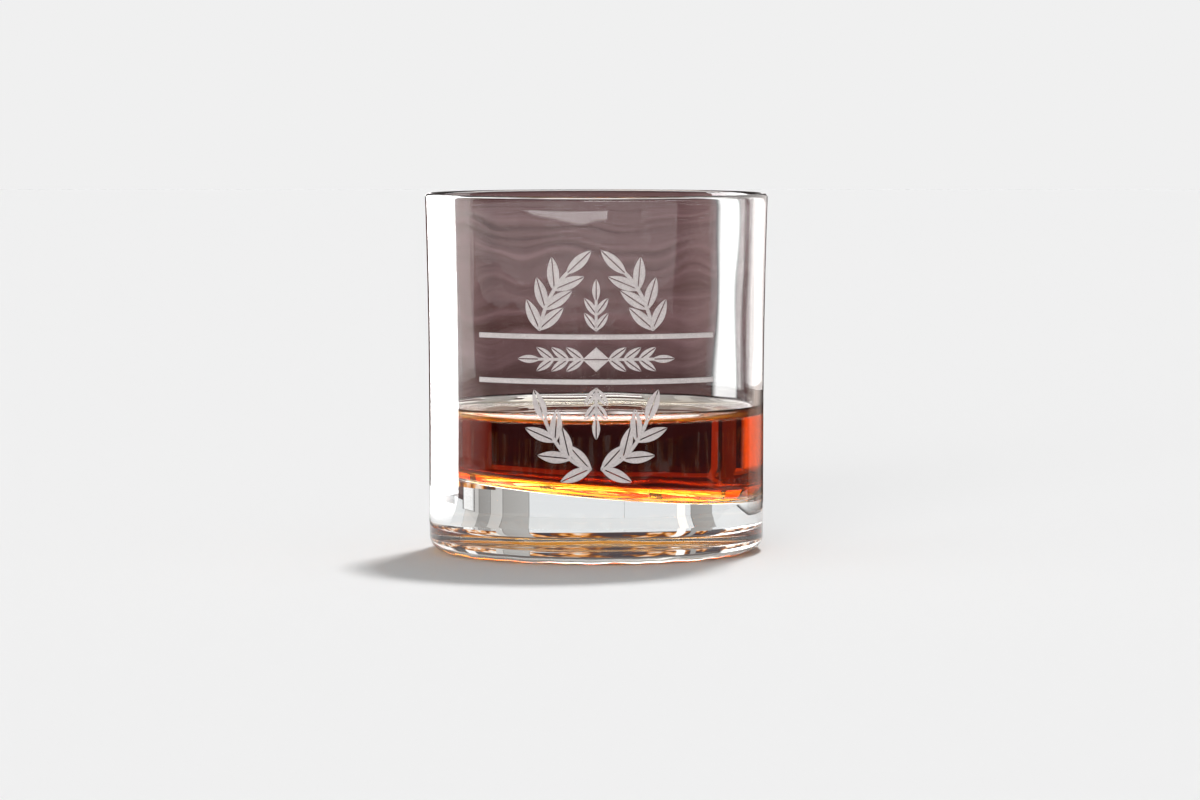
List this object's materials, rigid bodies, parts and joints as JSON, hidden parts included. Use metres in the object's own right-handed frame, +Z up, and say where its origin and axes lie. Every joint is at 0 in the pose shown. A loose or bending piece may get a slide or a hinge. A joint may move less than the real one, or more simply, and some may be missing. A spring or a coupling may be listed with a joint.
{
  "type": "whiskey tumbler",
  "caption": "Straight-walled rocks glass with a thick slanted base, an etched leaf wreath on the front and a measure of whisky in it.",
  "frame": {"origin": "centre of the foot ring, on the surface the glass stands on", "axes": "+Z up along the glass's axis, towards the mouth; -Y is the decorated front; the inner floor is high on the -X side"},
  "size_m": [0.0832, 0.0832, 0.087],
  "materials": {
    "clear_glass": "polished",
    "whisky": "gloss",
    "etched_glass": "matte"
  },
  "bodies": {
    "root": {"glass_body": "clear_glass", "whisky": "whisky", "etched_rule_upper": "etched_glass", "etched_rule_lower": "etched_glass", "etched_wreath_upper": "etched_glass", "etched_wreath_lower": "etched_glass", "etched_band": "etched_glass"}
  },
  "joints": []
}
